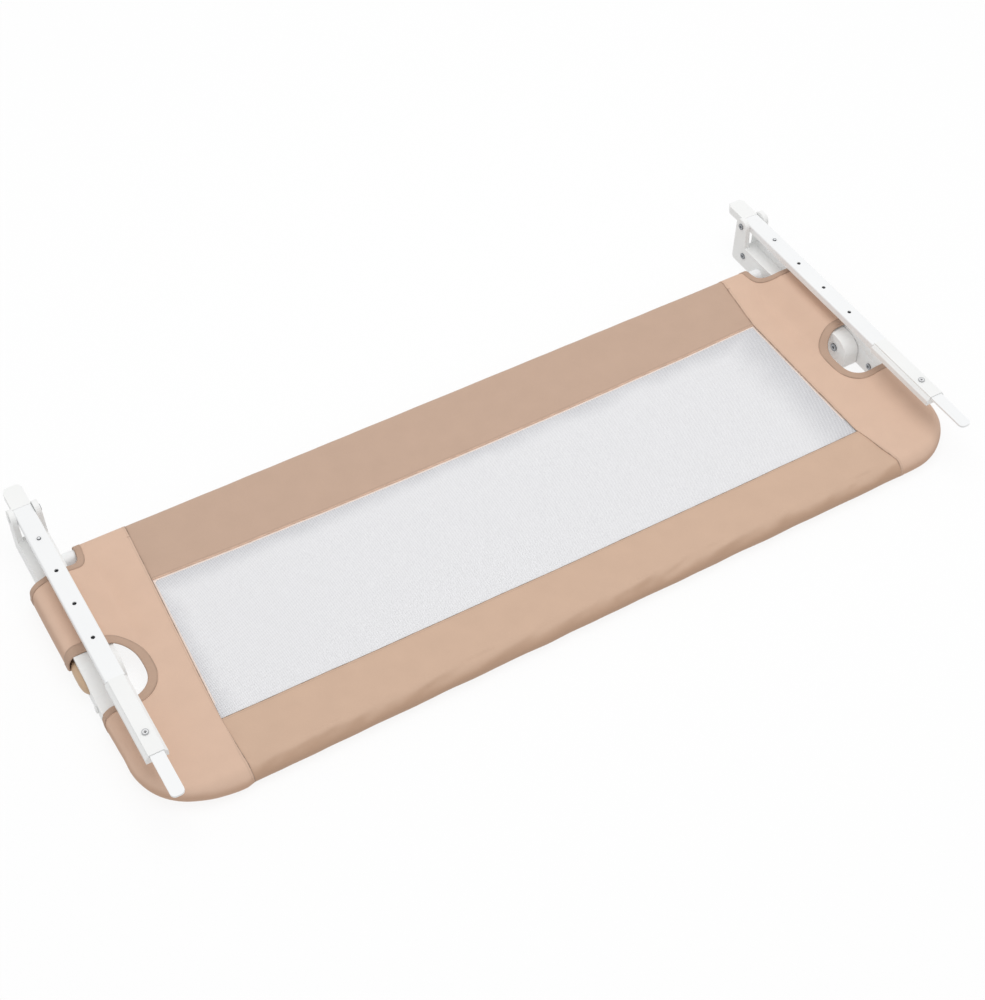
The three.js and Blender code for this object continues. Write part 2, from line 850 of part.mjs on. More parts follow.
function add(parent, name, geometry, finish) {
  const mesh = new THREE.Mesh(geometry, new THREE.MeshStandardMaterial(finish));
  mesh.name = name;
  parent.add(mesh);
}

const middlePieces = [
  ['top_frame', topFrame(), whiteSteel],
  ['cross_tube', crossTube(), whiteSteel],
  ['cover_top_roll', alongRail(rollRadius, clothBore, armEnd - fitGap), sandCloth],
  ['cover_near_band', band(nearSeam, rollEdge, windowX, windowNearEdge - seam), sandCloth],
  ['mesh_window_upper', band(
    windowX, windowNearEdge + seam, windowX, railToHinge - seam), paleMesh],
  ['mesh_window_lower', band(
    windowX, railToHinge + seam, windowX, windowFarEdge - seam), paleMesh],
  ['cover_far_band', band(
    windowX, windowFarEdge + seam, farSeam, railToCrossTube - rollEdge), taupeCloth],
  ['cover_hem_roll', hemRoll(), taupeCloth],
];
for (const [name, geometry, finish] of middlePieces) {
  add(rail, name, welded(geometry), finish);
}

const sidePieces = [
  ['cover_upper', upperSideSheet(), sandCloth],
  ['cover_lower', lowerSideSheet(), sandCloth],
  ['side_sleeve', sideSleeve(), sandCloth],
  ['lower_post', lowerPost(), whiteSteel],
  ['bracket_inner_shell', bracketShell(bracketInner, legX - seam), whitePlastic],
  ['bracket_outer_shell', bracketShell(legX + seam, bracketOuter), whitePlastic],
  ['bracket_screw', bracketScrew(), greySteel],
  ['leg_pivot_pin', legPivotPin(), greySteel],
  ['hinge_base', hingeBase(), whitePlastic],
  ['hinge_arm', hingeArm(), whitePlastic],
  ['hinge_pin', hingePin(), greySteel],
  ['lock_ring', lockRing(), greySteel],
  ['release_button', releaseButton(), tanPlastic],
  ['release_spring', releaseSpring(), greySteel],
  ['arm_bolt', armBolt(), greySteel],
  ['arm_nut', armNut(), whitePlastic],
];

const legPieces = [
  ['leg_tube', legTube(), whiteSteel],
  ['leg_end_plug', legEndPlug(), whitePlastic],
  ['leg_slide_bar', legSlideBar(), darkSteel],
  ['snap_button', snapButton(), whitePlastic],
  ['leg_shoe', legShoe(), whitePlastic],
  ['leg_tongue', legTongue(), whiteSteel],
  ['tongue_screw', tongueScrew(), greySteel],
];

for (const [side, sideName] of [[-1, 'left'], [1, 'right']]) {
  for (const [name, geometry, finish] of sidePieces) {
    add(rail, `${name}_${sideName}`, onSide(geometry, side), finish);
  }
  const leg = new THREE.Group();
  leg.position.set(side * legX, pivotY, pivotHeight);
  rail.add(leg);
  for (const [name, geometry, finish] of legPieces) {
    add(leg, `${name}_${sideName}`, onSide(geometry, side), finish);
  }
}

export default rail;
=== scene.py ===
# A folding bed guard rail that lies flat, in metres. The frame's pieces come from the CAD model and
# get their finishes here. The cloth cover, its bindings, the net window, the release buttons'
# crowns and the springs under the lock rings are made here.

import json
import math

import bmesh
import bpy
from mathutils import Matrix, Vector, noise


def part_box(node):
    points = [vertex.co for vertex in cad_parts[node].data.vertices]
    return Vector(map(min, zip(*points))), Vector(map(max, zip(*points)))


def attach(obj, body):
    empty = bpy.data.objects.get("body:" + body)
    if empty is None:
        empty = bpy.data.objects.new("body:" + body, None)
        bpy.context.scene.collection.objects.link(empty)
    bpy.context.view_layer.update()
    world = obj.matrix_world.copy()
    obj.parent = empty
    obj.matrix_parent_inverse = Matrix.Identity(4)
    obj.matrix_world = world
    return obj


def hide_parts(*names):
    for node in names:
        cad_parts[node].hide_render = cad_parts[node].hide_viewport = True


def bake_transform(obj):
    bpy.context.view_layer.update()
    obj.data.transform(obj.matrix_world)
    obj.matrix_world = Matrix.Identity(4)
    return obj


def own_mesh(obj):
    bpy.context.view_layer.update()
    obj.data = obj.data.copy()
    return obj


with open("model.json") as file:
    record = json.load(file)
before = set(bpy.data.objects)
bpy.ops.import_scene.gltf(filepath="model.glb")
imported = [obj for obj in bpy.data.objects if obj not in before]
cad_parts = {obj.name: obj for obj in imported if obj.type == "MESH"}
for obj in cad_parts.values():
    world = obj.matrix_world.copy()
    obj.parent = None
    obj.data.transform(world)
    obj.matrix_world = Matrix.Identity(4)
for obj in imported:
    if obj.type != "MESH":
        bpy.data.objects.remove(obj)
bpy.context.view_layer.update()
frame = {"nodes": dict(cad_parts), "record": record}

# Where the cover's lines run. "Out" is the distance from the rail's middle to either side, and
# "along" is the distance from the top rail towards the leg brackets.
rail_to_middle = 0.23275
tube_height = 0.013
upright_out = 0.574
bend_radius = 0.068
cross_tube_along = 0.394
upright_cloth_end = 0.1475
fold_along = 0.213

window_out = 0.463
window_left_ends = 0.4685, 0.4555
window_near = 0.0688
window_far = 0.3027
near_edge_ends, near_edge_bow = (0.0718, 0.0664), 0.0018
far_edge_shift, far_edge_bow = 0.0012, 0.0068
seam_near_left, seam_far_left, seam_right = -0.001, -0.0045, 0.0125
seam_curve, seam_reach = 0.8, 1.2
seam_allowance = 0.005
hem_out = 0.521

hole_out, hole_top = 0.561, 0.2255
hole_reach_left, hole_reach_right = 0.0456, 0.0415
round_corner, full_corner = 2.5, 3.1
sleeve_near = 0.2295
sleeve_far = 0.3585
sleeve_side = 0.5953
sleeve_inner_side = 0.5317
sleeve_top = 0.0453
sleeve_corner = 0.0129
sleeve_foot = 0.0006
sleeve_back_length, sleeve_back_out, sleeve_back_drop = 0.03, 0.517, 0.0012
cut_start_out = 0.545

# The cloth's levels
cloth_level = 0.0243
tube_lift = 0.001
arm_lift = 0.0028
lap = 0.0009
cloth_thickness = 0.001
net_drop = 0.0009
net_thickness = 0.0005
sag_out, sag_depth = 0.53, 0.0035

# The cloth's way round the tubes
roll_radius = 0.0123
side_roll_radius, band_roll_radius = roll_radius + 0.0001, roll_radius + 0.0002
roll_flat = 0.013
roll_turn = math.radians(300)
roll_return = 0.005
return_inwards, return_upwards = 0.8, 0.6
roll_length = roll_flat + roll_turn * roll_radius + roll_return
rail_slack, rail_slack_change = 0.0034, 0.0011
left_bulge = 0.0022
bend_cloth_length = 0.21
upright_end_slant = 0.0093
arm_cover_side, arm_cover_top, arm_boxiness = 0.0142, 0.0161, 7

# Folds and wrinkles, by their depth
fold_stand = 0.0003
wide_swell, fine_swell = 0.0007, 0.0004
flat_crease, hem_crease, bend_crease = 0.0004, 0.0003, 0.0006
long_gather, short_gather, fine_gather = 0.0021, 0.0012, 0.0004
sleeve_ripple = 0.0008

# Bindings and hard pieces
hole_binding = 0.0112
tube_binding = 0.0085
binding_stand = 0.00085
binding_thickness = 0.0005
binding_short = 0.004
sleeve_binding_share = 0.93
button_travel = 0.0045
crown_height, crown_base, crown_fullness = 0.0085, 0.0102, 0.62

# Spans over which one form passes into the next: where each starts and ends
rail_along = 0, 0.03
cross_along = 0.364, cross_tube_along
upright_from_inside, upright_along_end = (0.545, upright_out), (0.148, 0.17)
arm_from_inside, arm_along_start, arm_along_end = (0.54, 0.5615), (0.08, 0.138), (0.149, 0.168)
post_from_inside, climb_start, climb_end = (0.505, 0.546), (0.192, 0.229), (0.352, 0.392)
mouth_from_inside, mouth_delay = (0.561, 0.576), (0.003, 0.014)
fold_width = 0.004, 0.0055
ripple_start, hem_ripple_end = (0, 0.03), (0.03, 0.05)
slant_start = 0.012, 0.03
slack_start, slack_end = (0.6, 1.8), (2.5, 3.4)
gather_start, gather_end, gather_sides = (0, 0.016), (0.034, 0.06), (0.97, 0.995)
boxy_end = 0.03, 0.043
mouth_corner = 0, 0.014
mouth_steps = (-0.003, (0.02, 0.047)), (0.013, (0.046, 0.07)), (0.021, (0.088, 0.125))
far_end_steps = (-0.008, (0.012, 0.05)), (0.01, (0.055, 0.085))


def smooth(value, start, end):
    share = min(max((value - start) / (end - start), 0), 1)
    return share * share * (3 - 2 * share)


def between(first, second, share):
    return first + (second - first) * share


def wander(x, y, seed):
    """Smooth noise, from about -1 to 1."""
    return noise.noise(Vector((x, y, seed)))


def sag(out, along):
    """How far the cloth hangs below a straight line between the tubes."""
    if not 0 < along < cross_tube_along or abs(out) > sag_out:
        return 0
    across = math.cos(math.pi * out / (2 * sag_out))
    return sag_depth * across * math.sin(math.pi * along / cross_tube_along)


def sleeve_rise(out, along):
    """How far the side cloth climbs over the post and the hinge. By the sleeve's mouth it climbs
    later."""
    mouth = smooth(out, *mouth_from_inside)
    start, end = (place + delay * mouth for place, delay in zip(climb_start, mouth_delay))
    ends = smooth(along, start, end) * (1 - smooth(along, *climb_end))
    return (sleeve_top - cloth_level) * smooth(out, *post_from_inside) * ends


def over_arm(along):
    """Where the cloth on the upright widens, to pass over the hinge arm's end."""
    return smooth(along, *arm_along_start)


def cover_height(out, along):
    """The middle of the cloth's thickness over the flat part of the cover."""
    over_rail = 1 - smooth(along, *rail_along)
    over_cross_tube = smooth(along, *cross_along)
    over_upright = smooth(out, *upright_from_inside) * (1 - smooth(along, *upright_along_end))
    on_tube = max(over_rail, over_cross_tube, over_upright)
    on_arm = over_arm(along) * smooth(out, *arm_from_inside) * (1 - smooth(along, *arm_along_end))
    swell = wide_swell * wander(abs(out) * 13, along * 10, 2)
    swell += fine_swell * wander(abs(out) * 34 + along * 20, along * 30, 8)
    lift = tube_lift * on_tube + arm_lift * on_arm
    return cloth_level + lift - sag(out, along) + sleeve_rise(out, along) + swell * (1 - on_tube)


def at(out, along, height):
    return Vector((out, along - rail_to_middle, height))


def crease(first, second, place):
    """Soft slanting wrinkles, as a share of their depth."""
    drift = wander(first * 7, second * 9, place)
    fade = 0.5 + 0.5 * wander(first * 16, second * 11, place + 5)
    return math.sin(first * 150 + second * 105 + drift * 5) * max(fade, 0)


# Cloth

def edge_fold(inset):
    """The turned-in edge along a seam stands a little higher than the cloth beside it."""
    return fold_stand * (1 - smooth(inset, *fold_width))


def lay(mesh, columns, rows, place):
    """A rectangle of cloth, put in place by a function of its shares across and along.

    The function gives a point, its place on the flat cloth and its distance from the seams."""
    weave = mesh.loops.layers.uv.get("weave") or mesh.loops.layers.uv.new("weave")
    inset = mesh.verts.layers.float.get("inset") or mesh.verts.layers.float.new("inset")
    made = bmesh.ops.create_grid(mesh, x_segments=columns, y_segments=rows, size=0.5)
    flat = {}
    for vertex in made["verts"]:
        vertex.co, flat[vertex], vertex[inset] = place(vertex.co.x + 0.5, vertex.co.y + 0.5)
    for face in {face for vertex in made["verts"] for face in vertex.link_faces}:
        for loop in face.loops:
            loop[weave].uv = flat[loop.vert]


def placed(name, mesh):
    """The object that a finished mesh becomes, smooth and at the origin."""
    shape = bpy.data.meshes.new(name)
    mesh.to_mesh(shape)
    mesh.free()
    shape.shade_smooth()
    piece = bpy.data.objects.new(name, shape)
    bpy.context.scene.collection.objects.link(piece)
    return piece


def stitched(name, mesh, thickness, mirrored=False):
    """A piece of cloth with its thickness, from its middle surface. What lies over the tubes tells
    which way is up."""
    join, upper_level = 0.00002, 0.02
    bmesh.ops.remove_doubles(mesh, verts=mesh.verts, dist=join)
    bmesh.ops.recalc_face_normals(mesh, faces=mesh.faces)
    upper = [face for face in mesh.faces if face.calc_center_median().z > upper_level]
    if sum(face.normal.z * face.calc_area() for face in upper) < 0:
        bmesh.ops.reverse_faces(mesh, faces=mesh.faces)
    if mirrored:
        bmesh.ops.scale(mesh, vec=(-1, 1, 1), verts=mesh.verts)
        bmesh.ops.reverse_faces(mesh, faces=mesh.faces)
    mesh.normal_update()
    # Each vertex keeps how far it leans from upright, for the cloth's painted shade.
    lean = mesh.verts.layers.float.new("lean")
    for vertex in mesh.verts:
        vertex[lean] = math.acos(min(max(vertex.normal.z, -1), 1))
    piece = placed(name, mesh)
    wall = piece.modifiers.new("wall", "SOLIDIFY")
    wall.thickness = thickness
    wall.offset = 0
    wall.use_even_offset = False
    bpy.context.view_layer.update()
    shell = bpy.data.meshes.new_from_object(
        piece.evaluated_get(bpy.context.evaluated_depsgraph_get()))
    piece.modifiers.clear()
    piece.data = shell
    shell.name = name
    shell.shade_smooth()
    return piece


def far_edge(out):
    """The far band's edge along the window: it bows towards the rail in the middle."""
    bow = max(math.cos(math.pi * out / (2 * window_out)), 0) ** 0.8
    return window_far + far_edge_shift - far_edge_bow * bow


def near_edge(out):
    """The near band's edge along the window: it slants, and bows a little towards the rail."""
    share = min(max((out + window_out) / (2 * window_out), 0), 1)
    return between(*near_edge_ends, share) - near_edge_bow * math.sin(math.pi * share)


def window_side(side, along):
    """The window's two ends, one of which was sewn on a slant."""
    share = (along - window_near) / (window_far - window_near)
    return between(*window_left_ends, share) if side < 0 else window_out


def seam_out(side, along):
    """Where the side cloth's inner edge runs, past the window's corners and along its side."""
    if along < window_near:
        share = min(1 - along / window_near, seam_reach)
        shift = seam_near_left if side < 0 else seam_right
        return window_side(side, window_near) + shift * share ** seam_curve
    if along > window_far:
        share = min((along - window_far) / (cross_tube_along - window_far), 1)
        shift = seam_far_left if side < 0 else seam_right
        return window_side(side, window_far) + shift * share
    return window_side(side, along)


def rolled(distance, radius, swell, loose=0):
    """How far out and up a cloth runs over a tube and back to its own underside, from the point
    that lies roll_flat before the tube's top. A loose cloth stands off the tube's lower side.
    Before the tube's top there is no height, because the flat cover gives it."""
    turn = (distance - roll_flat) / radius
    if turn <= 0:
        return distance - roll_flat, None
    if turn <= roll_turn:
        grown = radius + swell * max(math.cos(turn * 0.7), 0)
        slack = loose * smooth(turn, *slack_start) * (1 - smooth(turn, *slack_end))
        drop = 0.4 * slack * max(-math.sin(2 * turn), 0)
        return math.sin(turn) * grown + slack, tube_height + math.cos(turn) * grown - drop
    rest = distance - roll_flat - roll_turn * radius
    return (
        math.sin(roll_turn) * radius - rest * return_inwards,
        tube_height + math.cos(roll_turn) * radius + rest * return_upwards)


def bunching(out, distance):
    """The cloth gathers in long slanting waves where it turns over the rail."""
    wave = wander(out * 13, distance * 70 + out * 9, 1)
    short = wander(out * 30, distance * 90 + out * 22, 4)
    fine = wander(out * 75, distance * 60, 7)
    return long_gather * wave + short_gather * short + fine_gather * fine


def near_band():
    """The band over the top rail, from the window to the seam under the rail."""
    mesh = bmesh.new()
    flat_length = window_near - roll_flat

    def place(share_x, share_y):
        across = share_x * 2 - 1
        path = share_y * (flat_length + roll_length)
        if path <= flat_length:
            start = near_edge(across * window_out)
            along = between(start, roll_flat, path / flat_length)
            out = across * (seam_out(across, along) + seam_allowance)
            ripple = flat_crease * crease(out, along, 1) * smooth(path, *ripple_start)
            height = cover_height(out, along) + edge_fold(path) + ripple
            return at(out, along, height), (out, along), path
        distance = path - flat_length
        out = across * (seam_out(across, max(roll_flat - distance, 0)) + seam_allowance)
        fade = smooth(distance, *gather_start) * (1 - smooth(distance, *gather_end))
        fade *= 1 - smooth(abs(across), *gather_sides)
        loose = rail_slack + rail_slack_change * wander(out * 21, 3, 1)
        outward, height = rolled(distance, band_roll_radius, bunching(out, distance) * fade, loose)
        if height is None:
            height = cover_height(out, -outward) + flat_crease * crease(out, -outward, 1)
        return at(out, -outward, height), (out, roll_flat - distance), path

    lay(mesh, 420, 62, place)
    return stitched("near_band", mesh, cloth_thickness)


def far_band():
    """The band over the cross tube, from the window to the seam under the tube."""
    mesh = bmesh.new()
    flat_length = cross_tube_along - window_far - roll_flat
    stretch = 0.6

    def place(share_x, share_y):
        across = share_x * 2 - 1
        path = share_y * (flat_length + roll_length)
        if path <= flat_length:
            start = far_edge(across * window_out)
            along = between(start, cross_tube_along - roll_flat, path / flat_length)
            out = across * (seam_out(across, along) + seam_allowance)
            ripple = flat_crease * crease(out * stretch, along * stretch, 9)
            ripple *= smooth(path, *ripple_start)
            height = cover_height(out, along) + edge_fold(path) + ripple
            return at(out, along, height), (out, along), path
        distance = path - flat_length
        along_flat = cross_tube_along - roll_flat + distance
        out = across * (seam_out(across, along_flat) + seam_allowance)
        ripple = hem_crease * crease(out * stretch, distance, 9)
        ripple *= 1 - smooth(distance, *hem_ripple_end)
        outward, height = rolled(distance, side_roll_radius, ripple)
        along = cross_tube_along + outward
        if height is None:
            height = cover_height(out, along) + ripple
        return at(out, along, height), (out, along_flat), path

    lay(mesh, 260, 46, place)
    return stitched("far_band", mesh, cloth_thickness)


def rail_path(side, share):
    """A point on the top rail's axis, from the side seam round the bend to the upright's end,
    and the direction away from the cover."""
    seam = seam_out(side, 0)
    straight = upright_out - bend_radius - seam
    turn = bend_radius * math.pi / 2
    path = share * (straight + turn + upright_cloth_end - bend_radius)
    if path < straight:
        return seam + path, 0, 0, -1
    if path < straight + turn:
        angle = (path - straight) / bend_radius
        x, y = math.sin(angle), -math.cos(angle)
        return upright_out - bend_radius + bend_radius * x, bend_radius + bend_radius * y, x, y
    return upright_out, bend_radius + path - straight - turn, 1, 0


def seam_inset(share):
    """How far a point over the bent tube lies from the side seam."""
    return share * bend_cloth_length + 0.0001


def upright_slant(distance):
    """How much sooner the cloth ends on the upright's outer side than on its top."""
    return upright_end_slant * smooth(distance, *slant_start)


def round_tube(along, distance, swell, loose=0):
    """How far out and up the side cloth runs over the bent tube: round, and boxy over the arm."""
    outward, height = rolled(distance, side_roll_radius, swell, loose)
    if height is None:
        return outward, height
    boxy = over_arm(along) * (1 - smooth(distance, *boxy_end))
    rise = height - tube_height
    sides = (abs(outward) / arm_cover_side) ** arm_boxiness
    top = (abs(rise) / arm_cover_top) ** arm_boxiness
    grown = between(1, (sides + top) ** (-1 / arm_boxiness), boxy)
    return outward * grown, tube_height + rise * grown


def roll_point(side, share, distance):
    """The side cloth over the bent tube. At the seam it starts on the band's slanting edge. By the
    left seam it bulges out over the rail."""
    out, along, x, y = rail_path(side, share)
    fold = edge_fold(seam_inset(share))
    swell = lap + fold + bend_crease * crease(share * 0.25, distance, 3)
    bulge = left_bulge * smooth(share, 0, 0.05) if side < 0 else 0
    tight = (0.06, 0.3) if side < 0 else (0.06, 0.4)
    loose = (rail_slack + bulge) * (1 - smooth(share, *tight))
    outward, height = round_tube(along, distance, swell, loose)
    edge = seam_out(side, max(along + y * outward, 0)) - seam_out(side, 0)
    point_out = out + x * outward + edge * (1 - smooth(share, 0, 0.12))
    point_along = along + y * outward - upright_slant(distance) * smooth(share, 0.75, 1)
    if height is None:
        height = cover_height(point_out, point_along) + lap + fold
    return at(point_out, point_along, height)


def hole_edge(side, share):
    """The hand hole's edge, from beside the upright round to the sleeve's mouth: a long oval with
    fuller corners, and one rounder corner on the left."""
    angle = (share - 0.5) * math.pi
    middle, half = (hole_top + upright_cloth_end) / 2, (hole_top - upright_cloth_end) / 2
    reach = hole_reach_left if side < 0 else hole_reach_right
    fullness = 2 / (round_corner if side < 0 and angle < 0 else full_corner)
    rise = math.copysign(abs(math.sin(angle)) ** fullness, angle)
    return hole_out - reach * math.cos(angle) ** fullness, middle + half * rise


def cut_edge(share):
    """The cover's corner cut, from the sleeve's far end to the hem."""
    depth = cross_tube_along - sleeve_far
    angle = share * math.acos(roll_flat / depth)
    return (
        between(hem_out, cut_start_out, 1 - math.sin(angle)),
        cross_tube_along - depth * math.cos(angle))


def hem_end(distance):
    """How far out the cloth over the hem reaches."""
    return between(cut_edge(1)[0], hem_out, smooth(distance, 0, roll_flat))


def sleeve_ends(path):
    """The sleeve's mouth and far end, which run back under the post from its outer side."""
    mouth = between(hole_top, sleeve_near, smooth(path, *mouth_corner))
    mouth += sum(shift * smooth(path, *span) for shift, span in mouth_steps)
    far = sleeve_far + sum(shift * smooth(path, *span) for shift, span in far_end_steps)
    return mouth, far


def sleeve_section(start_out):
    """The lengths of the sleeve's outline round the post, from a point on its top: the top, a
    corner, the outer side, a corner, the foot, most of a corner, and the way back up."""
    top = sleeve_side - sleeve_corner - start_out
    quarter = sleeve_corner * math.pi / 2
    side = sleeve_top - sleeve_foot - 2 * sleeve_corner
    foot = sleeve_side - sleeve_inner_side - 2 * sleeve_corner
    return [top, quarter, side, quarter, foot, quarter * 0.75, sleeve_back_length]


def sleeve_point(share, row):
    """The sleeve's cloth over the post, down its outer side, under it and back."""
    edge = between(hole_out, cut_start_out, row)
    parts = sleeve_section(edge)
    path = share * sum(parts)
    along = between(*sleeve_ends(path), row)
    outer, inner = sleeve_side - sleeve_corner, sleeve_inner_side + sleeve_corner
    high, low = cover_height(outer, along) - sleeve_corner, sleeve_foot + sleeve_corner
    ripple = sleeve_ripple * wander(path * 22, along * 13, 4)
    radius = sleeve_corner + ripple
    for index, length in enumerate(parts):
        if path <= length or index == len(parts) - 1:
            break
        path -= length
    angle = path / sleeve_corner
    if index == 0:
        out = edge + path
        return at(out, along, cover_height(out, along) + lap + ripple * path / length)
    if index == 1:
        rise = math.cos(angle) * radius + lap * math.cos(angle)
        return at(outer + math.sin(angle) * radius, along, high + rise)
    if index == 2:
        return at(outer + radius, along, between(high, low, path / length))
    if index == 3:
        calm = between(radius, sleeve_corner, smooth(path, 0, length))
        return at(outer + math.cos(angle) * calm, along, low - math.sin(angle) * calm)
    if index == 4:
        return at(outer - path, along, sleeve_foot)
    if index == 6:
        angle = parts[5] / sleeve_corner
    turned = at(
        inner - math.sin(angle) * sleeve_corner, along, low - math.cos(angle) * sleeve_corner)
    if index == 5:
        return turned
    end_height = cover_height(sleeve_back_out, along) + lap - sleeve_back_drop
    return turned.lerp(at(sleeve_back_out, along, end_height), path / length)


def side_panel(side, name):
    """The side cloth: over the bent tube, past the hand hole, round the post and over the hem."""
    mesh = bmesh.new()
    columns, far_from_seams = 24, 0.1
    corner_out = window_side(side, window_near)

    def flat_point(out, along, inset):
        height = cover_height(out, along) + lap + edge_fold(inset)
        return at(out, along, height), (out, along), inset

    def over_corner(share, row):
        top = roll_point(side, row, 0)
        near = between(window_near, upright_cloth_end, row)
        start_out = between(corner_out, window_side(side, upright_cloth_end), row)
        far_out, far_along = top.x, top.y + rail_to_middle
        out = between(start_out, far_out, share)
        along = between(near, far_along, share)
        to_rail = (window_near - along) / (window_near - roll_flat)
        line = between(corner_out, seam_out(side, roll_flat), to_rail)
        if along < window_near:
            out += (seam_out(side, along) - line) * (1 - smooth(row, 0, 0.15))
        inset = share * math.hypot(far_out - start_out, far_along - near)
        return flat_point(out, along, min(inset, seam_inset(row)))

    def over_tube(share, row):
        distance = share * roll_length
        out, along, x, y = rail_path(side, row)
        reach = distance - roll_flat
        flat = (out + x * reach, along + y * reach)
        return roll_point(side, row, distance), flat, seam_inset(row)

    def to_edge(out, along, share):
        start = seam_out(side, along)
        return flat_point(between(start, out, share), along, share * (out - start))

    def past_hole(share, row):
        return to_edge(*hole_edge(side, row), share)

    def beside_sleeve(share, row):
        along = between(hole_top, sleeve_far, row)
        start = seam_out(side, along)
        out = between(start, between(hole_out, cut_start_out, row), share)
        return flat_point(out, along, out - start)

    def round_post(share, row):
        start = between(hole_out, cut_start_out, row)
        point = sleeve_point(share, row)
        path = share * sum(sleeve_section(start))
        return point, (start + path, point.y + rail_to_middle), far_from_seams

    def past_cut(share, row):
        return to_edge(*cut_edge(row), share)

    def over_hem(share, row):
        distance = row * roll_length
        outward, height = rolled(distance, side_roll_radius, lap)
        along = cross_tube_along + outward
        flat_along = cross_tube_along - roll_flat + distance
        seam, end = seam_out(side, flat_along), hem_end(distance)
        out = between(seam, end, share)
        if height is None:
            height = cover_height(out, along) + lap
        return at(out, along, height), (out, flat_along), share * (end - seam)

    lay(mesh, columns, 44, over_corner)
    lay(mesh, columns, 44, over_tube)
    lay(mesh, columns, 40, past_hole)
    lay(mesh, columns, 28, beside_sleeve)
    lay(mesh, 60, 28, round_post)
    lay(mesh, columns, 8, past_cut)
    lay(mesh, columns, 24, over_hem)
    return stitched(name, mesh, cloth_thickness, mirrored=side < 0)


def net_window():
    """The net, which reaches a little under the cloth all round."""
    mesh = bmesh.new()
    under = 0.005

    def place(share_x, share_y):
        across = share_x * 2 - 1
        along = between(window_near - under, window_far + under, share_y)
        side = window_side(across, along)
        out = across * (side + under)
        inset = min(side - abs(out), along - near_edge(out), far_edge(out) - along)
        return at(out, along, cover_height(out, along) - net_drop), (out, along), inset

    lay(mesh, 190, 50, place)
    return stitched("net_window", mesh, net_thickness)


# Bindings: a folded tape over each free edge

def bound(mesh, *runs):
    """A tape over an edge made of several runs, each with its number of steps. A run gives a
    point on the cloth at a share of its length, some way in from the edge as a share of the
    tape's width. The tape turns round the edge over the part of its width called rim."""
    steps = sum(count for _, count in runs)
    ahead, inwards, rim = 0.002, 0.04, 0.12

    def inside(share, depth):
        step = share * steps
        for run, count in runs:
            if step <= count:
                return run(step / count, depth)
            step -= count
        return run(1, depth)

    points = [inside(step / steps, 0) for step in range(steps + 1)]
    lengths = [0]
    for first, second in zip(points, points[1:]):
        lengths.append(lengths[-1] + (second - first).length)

    def place(across, share):
        turn = (across - 0.5) * 2
        depth = max((abs(turn) - rim) / (1 - rim), 0)
        point = inside(share, depth)
        run = inside(min(share + ahead, 1), depth) - inside(max(share - ahead, 0), depth)
        inward = (inside(share, depth + inwards) - point).normalized()
        face = inward.cross(run).normalized()
        round_rim = min(abs(turn) / rim, 1) * math.pi / 2
        lift = math.copysign(math.sin(round_rim) * binding_stand, turn)
        point = point - inward * math.cos(round_rim) * binding_stand + face * lift
        flat = (lengths[round(share * steps)], turn * hole_binding)
        return point, flat, (1 - depth) * hole_binding

    lay(mesh, 16, steps, place)


def heading(edge, share):
    """The direction in which an edge runs, across and along."""
    step = 0.02
    before, after = edge(max(share - step, 0)), edge(min(share + step, 1))
    return Vector((after[0] - before[0], after[1] - before[1])).normalized()


def edge_bindings(side, name):
    """The tapes: up the upright's end, round the hole and the sleeve's mouth, and from the sleeve's
    far end round the corner cut and the hem."""
    mesh = bmesh.new()

    def on_cover(out, along):
        return at(out, along, cover_height(out, along) + lap)

    def at_upright(share, depth):
        out = rail_path(side, 1)[0]
        distance = between(roll_length - binding_short, 0, share)
        along = upright_cloth_end - upright_slant(distance) - depth * tube_binding
        outward, height = round_tube(along, distance, lap)
        if height is None:
            return on_cover(out + outward, along)
        return at(out + outward, along, height)

    def at_hole(share, depth):
        out, along = hole_edge(side, share)
        run = heading(lambda place: hole_edge(side, place), share)
        width = between(tube_binding, hole_binding, smooth(share, 0, 0.2)) * depth
        return on_cover(out - run.y * width, along + run.x * width)

    def on_sleeve(share, row):
        return sleeve_point(share * sleeve_binding_share, row)

    def at_mouth(share, depth):
        return on_sleeve(share, depth * hole_binding / (sleeve_far - sleeve_near))

    def at_far_end(share, depth):
        return on_sleeve(1 - share, 1 - depth * tube_binding / (sleeve_far - sleeve_near))

    def at_cut(share, depth):
        out, along = cut_edge(share)
        run = heading(cut_edge, share)
        inward = Vector((-run.y, run.x)).lerp(Vector((0, -1)), 1 - smooth(share, 0, 0.2))
        inward = inward.lerp(Vector((-1, 0)), smooth(share, 0.7, 1)).normalized() * tube_binding
        return on_cover(out + inward.x * depth, along + inward.y * depth)

    def at_hem(share, depth):
        distance = share * (roll_length - binding_short)
        outward, height = rolled(distance, side_roll_radius, lap)
        out, along = hem_end(distance) - depth * tube_binding, cross_tube_along + outward
        if height is None:
            return on_cover(out, along)
        return at(out, along, height)

    bound(mesh, (at_upright, 26), (at_hole, 48), (at_mouth, 60))
    bound(mesh, (at_far_end, 60), (at_cut, 16), (at_hem, 24))
    return stitched(name, mesh, binding_thickness, mirrored=side < 0)


# Small hard pieces

